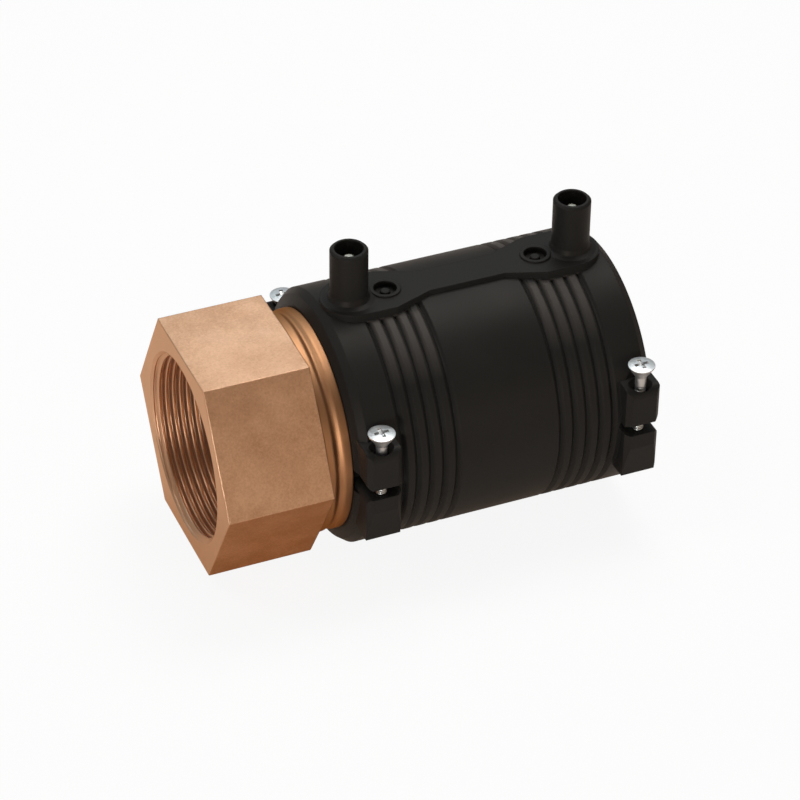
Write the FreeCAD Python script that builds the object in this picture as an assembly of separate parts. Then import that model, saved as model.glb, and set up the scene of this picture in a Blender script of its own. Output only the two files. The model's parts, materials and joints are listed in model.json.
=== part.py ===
import FreeCAD, Part
import math
import os

# Electrofusion transition adapter: a welding socket for plastic pipe, closed at one end
# by a brass insert with a hexagon and a female pipe thread.
# Millimetres. X runs along the waterway from the thread mouth, which is at X = 0 on the
# axis, to the pipe socket. Z points up along the two electrical terminals.

V = FreeCAD.Vector
ORIGIN = V(0, 0, 0)
X_AXIS = V(1, 0, 0)
Y_AXIS = V(0, 1, 0)
Z_AXIS = V(0, 0, 1)

# How far shapes that are fused run into each other, and cutters run past a face
OVERLAP = 1.0

# Pipe, and the plain stub that is shaped like its end
PIPE_RADIUS = 31.5
STUB_WALL = 5.85
STUB_FIT = 0.05
STUB_LEAD = 1.5
STUB_STOP_GAP = 0.3

# Hexagon and thread of the insert
THREAD_MAJOR_RADIUS = 29.8
THREAD_DEPTH = 1.47
THREAD_LENGTH = 25.0
MOUTH_CHAMFER = 2.0
RELIEF_DEPTH = 0.4
RELIEF_LENGTH = 3.2
THROAT_LENGTH = 5.0
THROAT_STEP = 3.0
HEX_WALL = 5.2
HEX_LENGTH = 33.9

# Turned collar and spigot of the insert
COLLAR_LENGTH = 8.1
COLLAR_COVER = 3.5
COLLAR_NECK_DEPTH = 1.6
COLLAR_NECK_WIDTH = 2.6
COLLAR_SLOPE = 1.0
COLLAR_BEAD_WIDTH = 2.6
SPIGOT_WALL = 4.1
SPIGOT_SETBACK = 5.75
SPIGOT_LEAD = 1.2
BARB_COUNT = 3
BARB_DEPTH = 0.9
SEAL_SECTION = 2.6
SEAL_GROOVE_WIDTH = 3.4
SEAL_OFFSETS = (8.0, 15.0)

# Coupler body
BODY_LENGTH = 98.5
SOCKET_CLEARANCE = 0.5
BODY_WALL = 8.5
BODY_SKIN = 1.5
END_ROUND_LENGTH = 3.6
END_ROUND_DROP = 4.8
END_ROUND_MIDDLE = (1.3, 1.7)
MOUTH_LEAD_LENGTH = 2.4
MOUTH_LEAD_DEPTH = 1.0
PIPE_STOP_WIDTH = 2.4
PIPE_STOP_HEIGHT = 3.0
RIB_COUNT = 4
RIB_PITCH = 4.38
RIB_TO_TERMINAL = 4.3
RIB_GROOVE_DEPTH = 1.2
RIB_GROOVE_WIDTH = 2.3

# Raised pad along the top, wide round the terminals and narrow between them
PAD_RISE = 1.3
PAD_NARROW_HALF = 5.7
PAD_WIDE_HALF = 10.2
PAD_FLARE = 12.5
PAD_REACH = 8.9

# Terminals and fusion indicators
TERMINAL_INSET = 12.4
SHROUD_RADIUS = 5.9
SHROUD_HEIGHT = 17.9
SHROUD_WALL = 1.45
SHROUD_FOOT = 2.2
SHROUD_FOOT_WAIST = 0.6
SHROUD_RIM = 0.7
PIN_RADIUS = 2.0
PIN_RECESS = 2.8
PIN_TIP = 0.5
PIN_STEM_RADIUS = 1.4
PIN_FLANGE_RADIUS = 3.0
PIN_FLANGE_THICKNESS = 1.2
INDICATOR_TO_TERMINAL = 11.85
INDICATOR_RADIUS = 1.6
INDICATOR_EDGE = 0.3
INDICATOR_WELL_RADIUS = 3.6
INDICATOR_RING_WIDTH = 1.2
INDICATOR_RING_HEIGHT = 0.5
INDICATOR_WELL_DEPTH = 1.6
INDICATOR_SINK = 0.4

# Heating wire, laid in a recess in the socket wall
WIRE_THICKNESS = 0.8
WIRE_PITCH = 8.6
FUSION_TURNS = 3
RECESS_MARGIN = 1.4

# Clamp ears, one pair on each side of each end, with a screw across each slit
EAR_WIDTH = 11.2
EAR_SETBACK = 0.9
EAR_REACH = 4.0
EAR_TOP = 15.4
EAR_BOTTOM = -17.3
EAR_TOP_ROUND = 3.2
EAR_TAPER = 1.9
EAR_TAPER_HEIGHT = 11.0
EAR_CORNER = 1.5
SLIT_GAP = 3.6
SLIT_CENTRE = 0.6
SLIT_DEPTH = 12.6
SLIT_FLARE = 1.9
SCREW_INSET = 3.7
SCREW_LENGTH = 26.6
SHANK_RADIUS = 1.75
SHANK_TIP_RADIUS = 0.6
SHANK_TIP_LENGTH = 3.4
HEAD_RADIUS = 4.2
HEAD_DOME = 0.9
HEAD_CROWN_RADIUS = 2.8
HEAD_RIM = 0.3
HEAD_CONE = 3.4
CROSS_WIDTH = 1.0
CROSS_SPAN = 4.6
CROSS_FLOOR_SPAN = 1.6
CROSS_DEPTH = 1.8
SCREW_HOLE_CLEARANCE = 0.4
SCREW_RUNNING_CLEARANCE = 0.05
SEAT_DEPTH = 2.2
SPOT_FACE_HEIGHT = 3.2
PILOT_FLOOR = 5.8

# How far each screw head stands above its seat, as delivered
SCREW_RAISE = {
    "clamp_screw_thread_end_right": 4.7,
    "clamp_screw_thread_end_left": 2.1,
    "clamp_screw_pipe_end_right": 6.7,
    "clamp_screw_pipe_end_left": 1.1,
}

# Places along X worked out from the sizes above
BODY_START = HEX_LENGTH + COLLAR_LENGTH
BODY_MID = BODY_START + BODY_LENGTH / 2
TERMINAL_OFFSET = BODY_LENGTH / 2 - TERMINAL_INSET
INDICATOR_OFFSET = TERMINAL_OFFSET - INDICATOR_TO_TERMINAL
LAST_RIB_OFFSET = TERMINAL_OFFSET - RIB_TO_TERMINAL
FUSION_LENGTH = WIRE_PITCH * FUSION_TURNS
FUSION_INNER = TERMINAL_OFFSET - FUSION_LENGTH
SCREW_OFFSET = BODY_LENGTH / 2 - EAR_SETBACK - EAR_WIDTH / 2
STUB_END = BODY_MID - PIPE_STOP_WIDTH / 2 - STUB_STOP_GAP
SPIGOT_END = STUB_END - SPIGOT_SETBACK
BARB_START = BODY_START + SEAL_OFFSETS[-1] + SEAL_GROOVE_WIDTH
BARB_PITCH = (SPIGOT_END - SPIGOT_LEAD - BARB_START) / (BARB_COUNT + 0.5)

# Radii and heights worked out from the sizes above
THREAD_MINOR_RADIUS = THREAD_MAJOR_RADIUS - THREAD_DEPTH
RELIEF_RADIUS = THREAD_MAJOR_RADIUS + RELIEF_DEPTH
HEX_APOTHEM = THREAD_MAJOR_RADIUS + HEX_WALL
COLLAR_RADIUS = PIPE_RADIUS + COLLAR_COVER
STUB_BORE = PIPE_RADIUS - STUB_WALL
SPIGOT_RADIUS = STUB_BORE - STUB_FIT
WATERWAY_RADIUS = SPIGOT_RADIUS - SPIGOT_WALL
SEAL_FLOOR = STUB_BORE - SEAL_SECTION
SOCKET_RADIUS = PIPE_RADIUS + SOCKET_CLEARANCE
STUB_SOCKET_RADIUS = PIPE_RADIUS + STUB_FIT
RECESS_RADIUS = SOCKET_RADIUS + WIRE_THICKNESS
BODY_ROOT = RECESS_RADIUS + BODY_SKIN
BODY_RADIUS = SOCKET_RADIUS + BODY_WALL
PAD_TOP = BODY_RADIUS + PAD_RISE
SHROUD_TOP = PAD_TOP + SHROUD_HEIGHT
CUP_RADIUS = SHROUD_RADIUS - SHROUD_WALL
CUP_FLOOR = PAD_TOP + PIN_FLANGE_THICKNESS
EAR_OUTER = BODY_RADIUS + EAR_REACH
SCREW_DISTANCE = EAR_OUTER - SCREW_INSET


def turned(points):
    """Solid of revolution about X from (x, radius) points that close on themselves."""
    corners = [V(x, 0, r) for x, r in points]
    face = Part.Face(Part.makePolygon(corners + corners[:1]))
    return face.revolve(ORIGIN, X_AXIS, 360)


def upright(points, x, y):
    """Solid of revolution about the vertical line through (x, y) from (radius, z) points."""
    corners = [V(r, 0, z) for r, z in points]
    face = Part.Face(Part.makePolygon(corners + corners[:1]))
    solid = face.revolve(ORIGIN, Z_AXIS, 360)
    solid.translate(V(x, y, 0))
    return solid


def barb_profile():
    """Saw teeth cut into the spigot: each drops square and rises slowly."""
    points = []
    for i in range(BARB_COUNT):
        x = BARB_START + i * BARB_PITCH
        points.append((x, SPIGOT_RADIUS))
        points.append((x, SPIGOT_RADIUS - BARB_DEPTH))
    points.append((BARB_START + BARB_COUNT * BARB_PITCH, SPIGOT_RADIUS))
    return points


def insert_outline():
    """Turned outside of the insert behind the hexagon: collar, seal grooves and barbs."""
    neck_radius = COLLAR_RADIUS - COLLAR_NECK_DEPTH
    bead = BODY_START - COLLAR_BEAD_WIDTH
    neck = bead - COLLAR_NECK_WIDTH
    start = HEX_LENGTH - OVERLAP
    points = [(start, 0), (start, THREAD_MAJOR_RADIUS), (HEX_LENGTH, THREAD_MAJOR_RADIUS)]
    points += [(HEX_LENGTH, COLLAR_RADIUS), (neck - COLLAR_SLOPE, COLLAR_RADIUS)]
    points += [(neck, neck_radius), (bead - COLLAR_SLOPE, neck_radius), (bead, COLLAR_RADIUS)]
    points += [(BODY_START, COLLAR_RADIUS), (BODY_START, SPIGOT_RADIUS)]
    for offset in SEAL_OFFSETS:
        low = BODY_START + offset - SEAL_GROOVE_WIDTH / 2
        high = low + SEAL_GROOVE_WIDTH
        points += [(low, SPIGOT_RADIUS), (low, SEAL_FLOOR), (high, SEAL_FLOOR), (high, SPIGOT_RADIUS)]
    points += barb_profile()
    points += [(SPIGOT_END - SPIGOT_LEAD, SPIGOT_RADIUS), (SPIGOT_END, SPIGOT_RADIUS - SPIGOT_LEAD)]
    return points + [(SPIGOT_END, 0)]


def insert_bore():
    """Inside of the insert: thread core, run-out relief, throat and waterway."""
    relief_end = THREAD_LENGTH + RELIEF_LENGTH
    throat_end = relief_end + THROAT_LENGTH
    points = [(-OVERLAP, 0), (-OVERLAP, RELIEF_RADIUS), (0, RELIEF_RADIUS)]
    points += [(MOUTH_CHAMFER, THREAD_MINOR_RADIUS), (THREAD_LENGTH, THREAD_MINOR_RADIUS)]
    points += [(THREAD_LENGTH, RELIEF_RADIUS), (relief_end, RELIEF_RADIUS)]
    points += [(relief_end, WATERWAY_RADIUS + THROAT_STEP), (throat_end, WATERWAY_RADIUS)]
    return points + [(SPIGOT_END + OVERLAP, WATERWAY_RADIUS), (SPIGOT_END + OVERLAP, 0)]


def threaded_insert():
    """Hexagon with flats at top and bottom, collar and spigot, turned from one bar."""
    corner = 2 * HEX_APOTHEM / math.sqrt(3)
    angles = [math.radians(60 * i) for i in range(6)]
    corners = [V(0, corner * math.cos(a), corner * math.sin(a)) for a in angles]
    hexagon = Part.Face(Part.makePolygon(corners + corners[:1])).extrude(V(HEX_LENGTH, 0, 0))
    return hexagon.fuse(turned(insert_outline())).cut(turned(insert_bore())).removeSplitter()


def seal_ring(offset):
    """Square-cut rubber ring in a groove of the spigot, squeezed against the stub's bore."""
    low = BODY_START + offset - SEAL_SECTION / 2
    high = low + SEAL_SECTION
    return turned([(low, SEAL_FLOOR), (low, STUB_BORE), (high, STUB_BORE), (high, SEAL_FLOOR)])


def transition_stub():
    """Plastic sleeve over the brass spigot, with the outside of a pipe end."""
    points = [(BODY_START, STUB_BORE), (BODY_START, PIPE_RADIUS), (STUB_END - STUB_LEAD, PIPE_RADIUS)]
    return turned(points + [(STUB_END, PIPE_RADIUS - STUB_LEAD), (STUB_END, STUB_BORE)])


def rib_grooves():
    """(offset, radius) points of the grooves beside the ribs, from the middle outward."""
    points = []
    for i in range(RIB_COUNT + 1):
        centre = LAST_RIB_OFFSET - (RIB_COUNT - 0.5 - i) * RIB_PITCH
        points.append((centre - RIB_GROOVE_WIDTH / 2, BODY_RADIUS))
        points.append((centre, BODY_RADIUS - RIB_GROOVE_DEPTH))
        points.append((centre + RIB_GROOVE_WIDTH / 2, BODY_RADIUS))
    return points


def body_half_profile(socket_radius, lead_depth):
    """(offset, radius) points of one half of the barrel, outside first, then the socket."""
    end = BODY_LENGTH / 2
    middle_x, middle_drop = END_ROUND_MIDDLE
    outside = [(0, BODY_RADIUS)] + rib_grooves()
    outside += [(end - END_ROUND_LENGTH, BODY_RADIUS), (end - middle_x, BODY_RADIUS - middle_drop)]
    outside += [(end, BODY_RADIUS - END_ROUND_DROP)]
    recess_end = TERMINAL_OFFSET + RECESS_MARGIN
    recess_start = FUSION_INNER - RECESS_MARGIN
    stop = PIPE_STOP_WIDTH / 2
    stop_radius = SOCKET_RADIUS - PIPE_STOP_HEIGHT
    inside = [(end, socket_radius + lead_depth), (end - MOUTH_LEAD_LENGTH, socket_radius)]
    inside += [(recess_end, socket_radius), (recess_end, RECESS_RADIUS)]
    inside += [(recess_start, RECESS_RADIUS), (recess_start, socket_radius)]
    inside += [(stop, socket_radius), (stop, stop_radius), (0, stop_radius)]
    return outside + inside


def barrel():
    """Ribbed outside, two sockets, the wire recesses and the central pipe stop."""
    pipe_half = body_half_profile(SOCKET_RADIUS, MOUTH_LEAD_DEPTH)
    stub_half = body_half_profile(STUB_SOCKET_RADIUS, 0)
    pipe_side = turned([(BODY_MID + x, r) for x, r in pipe_half])
    stub_side = turned([(BODY_MID - x, r) for x, r in stub_half])
    return pipe_side.fuse(stub_side).removeSplitter()


def pad():
    """Raised flat along the top, seen from above: narrow in the middle, round at the ends."""
    narrow_x = INDICATOR_OFFSET - PAD_FLARE
    round_x = TERMINAL_OFFSET + PAD_REACH - PAD_WIDE_HALF
    edges = []
    for end in (-1, 1):
        for side in (-1, 1):
            corners = [V(0, side * PAD_NARROW_HALF, 0), V(end * narrow_x, side * PAD_NARROW_HALF, 0)]
            corners += [V(end * INDICATOR_OFFSET, side * PAD_WIDE_HALF, 0)]
            corners += [V(end * round_x, side * PAD_WIDE_HALF, 0)]
            edges += [Part.LineSegment(a, b) for a, b in zip(corners, corners[1:])]
        wide = [V(end * round_x, side * PAD_WIDE_HALF, 0) for side in (-1, 1)]
        edges.append(Part.Arc(wide[0], V(end * (round_x + PAD_WIDE_HALF), 0, 0), wide[1]))
    outline = Part.Wire(Part.__sortEdges__([e.toShape() for e in edges]))
    block = Part.Face(outline).extrude(V(0, 0, PAD_TOP - BODY_ROOT))
    block.translate(V(BODY_MID, 0, BODY_ROOT))
    return block


def terminal_shroud(x):
    """Round cup wall round one contact pin, with a flared foot on the pad."""
    r = SHROUD_RADIUS
    foot = SHROUD_FOOT
    points = [(0, BODY_ROOT), (r + foot, BODY_ROOT), (r + foot, PAD_TOP)]
    points += [(r + SHROUD_FOOT_WAIST, PAD_TOP + SHROUD_FOOT_WAIST), (r, PAD_TOP + foot)]
    points += [(r, SHROUD_TOP - SHROUD_RIM), (r - SHROUD_RIM, SHROUD_TOP), (0, SHROUD_TOP)]
    return upright(points, x, 0)


def terminal_hole(x):
    """Cup above, flange seat and stem hole below, for one contact pin."""
    top = SHROUD_TOP + OVERLAP
    points = [(0, 0), (PIN_STEM_RADIUS, 0), (PIN_STEM_RADIUS, PAD_TOP), (PIN_FLANGE_RADIUS, PAD_TOP)]
    points += [(PIN_FLANGE_RADIUS, CUP_FLOOR), (CUP_RADIUS, CUP_FLOOR), (CUP_RADIUS, top), (0, top)]
    return upright(points, x, 0)


def terminal_pin(x):
    """Contact pin with a flange under the cup and a stem down to the heating wire."""
    top = SHROUD_TOP - PIN_RECESS
    points = [(0, RECESS_RADIUS), (PIN_STEM_RADIUS, RECESS_RADIUS), (PIN_STEM_RADIUS, PAD_TOP)]
    points += [(PIN_FLANGE_RADIUS, PAD_TOP), (PIN_FLANGE_RADIUS, CUP_FLOOR), (PIN_RADIUS, CUP_FLOOR)]
    points += [(PIN_RADIUS, top - PIN_TIP), (PIN_RADIUS - PIN_TIP, top), (0, top)]
    return upright(points, x, 0)


def indicator_ring(x):
    """Low ring round one fusion indicator."""
    outer = INDICATOR_WELL_RADIUS + INDICATOR_RING_WIDTH
    top = PAD_TOP + INDICATOR_RING_HEIGHT
    return upright([(0, BODY_ROOT), (outer, BODY_ROOT), (outer, top), (0, top)], x, 0)


def indicator_well(x):
    """Well with a narrow hole below it that the indicator stands in."""
    floor = PAD_TOP - INDICATOR_WELL_DEPTH
    top = PAD_TOP + INDICATOR_RING_HEIGHT + OVERLAP
    points = [(0, BODY_ROOT), (INDICATOR_RADIUS, BODY_ROOT), (INDICATOR_RADIUS, floor)]
    points += [(INDICATOR_WELL_RADIUS, floor), (INDICATOR_WELL_RADIUS, top), (0, top)]
    return upright(points, x, 0)


def fusion_indicator(x):
    """Plastic plug that the melt pushes up when the joint is welded."""
    top = PAD_TOP - INDICATOR_SINK
    points = [(0, BODY_ROOT), (INDICATOR_RADIUS, BODY_ROOT), (INDICATOR_RADIUS, top - INDICATOR_EDGE)]
    return upright(points + [(INDICATOR_RADIUS - INDICATOR_EDGE, top), (0, top)], x, 0)


def clamp_ear(end, side):
    """Ear on one side of one end: round at the top, tapered below, outer corners cut off."""
    round_z = EAR_TOP - EAR_TOP_ROUND
    round_y = EAR_OUTER - EAR_TOP_ROUND
    halfway = EAR_TOP_ROUND * math.sqrt(0.5)
    top = [V(0, round_y, EAR_TOP), V(0, round_y + halfway, round_z + halfway), V(0, EAR_OUTER, round_z)]
    corners = [top[2], V(0, EAR_OUTER, EAR_BOTTOM + EAR_TAPER_HEIGHT)]
    corners += [V(0, EAR_OUTER - EAR_TAPER, EAR_BOTTOM), V(0, BODY_ROOT, EAR_BOTTOM)]
    corners += [V(0, BODY_ROOT, EAR_TOP), top[0]]
    edges = [Part.Arc(*top)] + [Part.LineSegment(a, b) for a, b in zip(corners, corners[1:])]
    outline = Part.Wire(Part.__sortEdges__([e.toShape() for e in edges]))
    ear = Part.Face(outline).extrude(V(EAR_WIDTH, 0, 0))
    plan = [V(0, BODY_ROOT, EAR_BOTTOM), V(0, EAR_OUTER - EAR_CORNER, EAR_BOTTOM)]
    plan += [V(EAR_CORNER, EAR_OUTER, EAR_BOTTOM), V(EAR_WIDTH - EAR_CORNER, EAR_OUTER, EAR_BOTTOM)]
    plan += [V(EAR_WIDTH, EAR_OUTER - EAR_CORNER, EAR_BOTTOM), V(EAR_WIDTH, BODY_ROOT, EAR_BOTTOM)]
    ear = ear.common(Part.Face(Part.makePolygon(plan + plan[:1])).extrude(V(0, 0, EAR_TOP - EAR_BOTTOM)))
    ear.translate(V(BODY_MID + SCREW_OFFSET - EAR_WIDTH / 2, 0, 0))
    return place_at_end(ear, end, side)


def place_at_end(shape, end, side):
    """Mirror a shape made for the pipe end, +Y side, to the named end and side."""
    if end < 0:
        shape = shape.mirror(V(BODY_MID, 0, 0), X_AXIS)
    if side < 0:
        shape = shape.mirror(ORIGIN, Y_AXIS)
    return shape


def slit(end, side):
    """Gap between two ears, cut through the wall to the socket and flared at the face."""
    half = SLIT_GAP / 2
    face_x = BODY_LENGTH / 2 - EAR_SETBACK
    blind_x = BODY_LENGTH / 2 - SLIT_DEPTH + half
    flare_x = face_x - SLIT_FLARE
    bend = SLIT_FLARE * (1 - math.sqrt(0.5))
    beyond = BODY_LENGTH / 2 + OVERLAP
    upper = [V(flare_x, 0, half), V(face_x - bend, 0, half + bend), V(face_x, 0, half + SLIT_FLARE)]
    lower = [V(p.x, 0, -p.z) for p in upper]
    corners = [upper[2], V(beyond, 0, upper[2].z), V(beyond, 0, lower[2].z), lower[2]]
    edges = [Part.Arc(*upper), Part.Arc(*lower)]
    edges += [Part.LineSegment(a, b) for a, b in zip(corners, corners[1:])]
    edges += [Part.LineSegment(V(blind_x, 0, p.z), p) for p in (V(flare_x, 0, half), V(flare_x, 0, -half))]
    edges.append(Part.Arc(V(blind_x, 0, half), V(blind_x - half, 0, 0), V(blind_x, 0, -half)))
    outline = Part.Wire(Part.__sortEdges__([e.toShape() for e in edges]))
    cutter = Part.Face(outline).extrude(V(0, EAR_OUTER, 0))
    cutter.translate(V(BODY_MID, STUB_BORE, SLIT_CENTRE))
    return place_at_end(cutter, end, side)


def screw_hole(end, side):
    """Spot face, countersunk clearance hole in the upper ear and blind pilot in the lower."""
    clear = SHANK_RADIUS + SCREW_HOLE_CLEARANCE
    pilot = SHANK_RADIUS + SCREW_RUNNING_CLEARANCE
    floor = EAR_BOTTOM + PILOT_FLOOR
    seat = clear + SEAT_DEPTH * (HEAD_RADIUS - SHANK_RADIUS) / HEAD_CONE
    spot = HEAD_RADIUS + SCREW_HOLE_CLEARANCE
    top = EAR_TOP + SPOT_FACE_HEIGHT
    points = [(0, floor), (pilot, floor), (pilot, SLIT_CENTRE), (clear, SLIT_CENTRE)]
    points += [(clear, EAR_TOP - SEAT_DEPTH), (seat, EAR_TOP), (spot, EAR_TOP), (spot, top), (0, top)]
    return place_at_end(upright(points, BODY_MID + SCREW_OFFSET, SCREW_DISTANCE), end, side)


def wire_link():
    """Straight run of the wire between the two fusion zones, along the top."""
    link = Part.makeBox(2 * FUSION_INNER, WIRE_THICKNESS, WIRE_THICKNESS)
    link.translate(V(BODY_MID - FUSION_INNER, -WIRE_THICKNESS / 2, SOCKET_RADIUS))
    return link


def coupler_body():
    """The moulded socket with its pad, shrouds, indicator wells, clamp ears and slits."""
    ends = [(end, side) for end in (-1, 1) for side in (-1, 1)]
    added = [pad()] + [clamp_ear(end, side) for end, side in ends]
    removed = [wire_link()]
    for end in (-1, 1):
        terminal_x = BODY_MID + end * TERMINAL_OFFSET
        indicator_x = BODY_MID + end * INDICATOR_OFFSET
        added += [terminal_shroud(terminal_x), indicator_ring(indicator_x)]
        removed += [terminal_hole(terminal_x), indicator_well(indicator_x)]
    for end, side in ends:
        removed += [slit(end, side), screw_hole(end, side)]
    return barrel().fuse(added).cut(removed).removeSplitter()


def wire_coil(start_x):
    """One fusion zone: square wire wound along X, both ends at the top."""
    radius = SOCKET_RADIUS + WIRE_THICKNESS / 2
    half = WIRE_THICKNESS / 2
    helix = Part.makeHelix(WIRE_PITCH, FUSION_LENGTH, radius)
    corners = [V(radius - half, 0, -half), V(radius + half, 0, -half)]
    corners += [V(radius + half, 0, half), V(radius - half, 0, half)]
    section = Part.makePolygon(corners + corners[:1])
    coil = Part.Wire(helix.Edges).makePipeShell([section], True, True)
    coil.rotate(ORIGIN, Y_AXIS, 90)
    coil.rotate(ORIGIN, X_AXIS, 180)
    coil.translate(V(start_x, 0, 0))
    return coil


def heating_wire():
    """Both coils with the straight link between them, in one length of wire."""
    first = wire_coil(BODY_MID - TERMINAL_OFFSET)
    second = wire_coil(BODY_MID + FUSION_INNER)
    return wire_link().fuse([first, second])


def cross_recess(top):
    """Two crossing slots that narrow with depth, for a cross-point driver."""
    outer = CROSS_SPAN / 2
    inner = CROSS_FLOOR_SPAN / 2
    floor = top - CROSS_DEPTH
    profile = [V(-outer, 0, top), V(outer, 0, top), V(inner, 0, floor), V(-inner, 0, floor)]
    blade = Part.Face(Part.makePolygon(profile + profile[:1])).extrude(V(0, CROSS_WIDTH, 0))
    blade.translate(V(0, -CROSS_WIDTH / 2, 0))
    other = blade.copy()
    other.rotate(ORIGIN, Z_AXIS, 90)
    return blade.fuse(other)


def clamp_screw(raise_height, end, side):
    """Raised countersunk screw whose head stands a little above its seat."""
    rim = EAR_TOP + raise_height
    tip = rim - SCREW_LENGTH
    crown = rim + HEAD_DOME
    points = [(0, tip), (SHANK_TIP_RADIUS, tip), (SHANK_RADIUS, tip + SHANK_TIP_LENGTH)]
    points += [(SHANK_RADIUS, rim - HEAD_RIM - HEAD_CONE), (HEAD_RADIUS, rim - HEAD_RIM), (HEAD_RADIUS, rim)]
    points += [(HEAD_CROWN_RADIUS, crown), (0, crown)]
    screw = upright(points, 0, 0).cut(cross_recess(crown))
    screw.translate(V(BODY_MID + SCREW_OFFSET, SCREW_DISTANCE, 0))
    return place_at_end(screw, end, side)


def pieces():
    """Every piece by name."""
    left_x = BODY_MID - TERMINAL_OFFSET
    right_x = BODY_MID + TERMINAL_OFFSET
    made = {
        "coupler_body": coupler_body(),
        "threaded_insert": threaded_insert(),
        "transition_stub": transition_stub(),
        "seal_ring_outer": seal_ring(SEAL_OFFSETS[0]),
        "seal_ring_inner": seal_ring(SEAL_OFFSETS[1]),
        "heating_wire": heating_wire(),
        "terminal_pin_thread_end": terminal_pin(left_x),
        "terminal_pin_pipe_end": terminal_pin(right_x),
        "fusion_indicator_thread_end": fusion_indicator(BODY_MID - INDICATOR_OFFSET),
        "fusion_indicator_pipe_end": fusion_indicator(BODY_MID + INDICATOR_OFFSET),
    }
    for name, raise_height in SCREW_RAISE.items():
        end = -1 if "thread_end" in name else 1
        side = -1 if name.endswith("right") else 1
        made[name] = clamp_screw(raise_height, end, side)
    return made


def main():
    os.makedirs("parts", exist_ok=True)
    for name, shape in pieces().items():
        shape.exportStep("parts/" + name + ".step")
        solids = len(shape.Solids)
        print(name, "solids", solids, "valid", shape.isValid(), "volume", round(shape.Volume, 1))


if __name__ == "__main__":
    main()
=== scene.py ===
"""Looks of an electrofusion adapter: black socket, brass thread insert and clamp screws."""

import json
import math

import bpy
import numpy as np
from bpy.props import FloatProperty, FloatVectorProperty, IntProperty, PointerProperty
from mathutils import Matrix, Vector


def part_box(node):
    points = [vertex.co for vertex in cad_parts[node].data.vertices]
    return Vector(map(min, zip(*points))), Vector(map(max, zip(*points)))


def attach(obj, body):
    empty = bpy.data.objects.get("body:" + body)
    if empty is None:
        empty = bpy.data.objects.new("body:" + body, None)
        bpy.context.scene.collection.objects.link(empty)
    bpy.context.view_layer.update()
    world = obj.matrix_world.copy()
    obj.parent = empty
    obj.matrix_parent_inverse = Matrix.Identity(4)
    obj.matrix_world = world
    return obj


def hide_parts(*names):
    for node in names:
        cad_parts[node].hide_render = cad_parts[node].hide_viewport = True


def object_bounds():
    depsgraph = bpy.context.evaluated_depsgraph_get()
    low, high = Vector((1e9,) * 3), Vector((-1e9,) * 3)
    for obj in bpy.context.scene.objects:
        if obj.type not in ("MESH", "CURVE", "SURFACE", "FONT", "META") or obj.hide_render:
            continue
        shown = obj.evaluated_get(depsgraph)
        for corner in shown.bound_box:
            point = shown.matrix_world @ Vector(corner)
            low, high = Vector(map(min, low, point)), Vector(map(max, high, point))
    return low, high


bl_info = {
    "name": "Electrofusion adapter looks",
    "version": (1, 0, 0),
    "blender": (4, 5, 0),
    "location": "View3D > Sidebar > Adapter",
    "description": "Surfaces, finishes and studio for an electrofusion adapter",
    "category": "Object",
}

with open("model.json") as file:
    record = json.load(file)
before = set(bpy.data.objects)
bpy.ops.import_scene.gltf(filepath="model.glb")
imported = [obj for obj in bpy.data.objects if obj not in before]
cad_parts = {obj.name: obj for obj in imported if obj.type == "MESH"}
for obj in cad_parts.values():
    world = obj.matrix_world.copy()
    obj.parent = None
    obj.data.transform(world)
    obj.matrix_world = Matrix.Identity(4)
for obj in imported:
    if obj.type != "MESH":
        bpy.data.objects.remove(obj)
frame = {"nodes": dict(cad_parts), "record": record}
FRAME_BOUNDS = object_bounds()
INSERT_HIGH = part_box("threaded_insert")[1]
WIRE_LOW, WIRE_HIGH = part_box("heating_wire")
BODY_LOW, BODY_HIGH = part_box("coupler_body")
SEALS = ("seal_ring_outer", "seal_ring_inner")
MM = 0.001
WHITE = (1.0, 1.0, 1.0)
SHARP_ANGLE = math.radians(38)
TURNED_MOUTH, MILLED_FLATS, TURNED_COLLAR, THREAD = range(4)


# Sizes and colours


def length(name, description, millimetres):
    """A distance property whose default is given in millimetres."""
    value = millimetres * MM
    return FloatProperty(name=name, description=description, default=value, min=0, unit="LENGTH")


def colour(name, description, value):
    """A colour property in linear light."""
    limits = {"size": 3, "min": 0, "max": 1, "subtype": "COLOR"}
    return FloatVectorProperty(name=name, description=description, default=value, **limits)


def level(name, description, value):
    """A share or level between 0 and 1."""
    limits = {"min": 0, "max": 1, "subtype": "FACTOR"}
    return FloatProperty(name=name, description=description, default=value, **limits)


def tilt(name, description, degrees):
    """An angle property whose default is given in degrees."""
    value = math.radians(degrees)
    return FloatProperty(name=name, description=description, default=value, subtype="ANGLE")


def count(name, description, value):
    """A whole number of at least 1."""
    return IntProperty(name=name, description=description, default=value, min=1)


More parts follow.
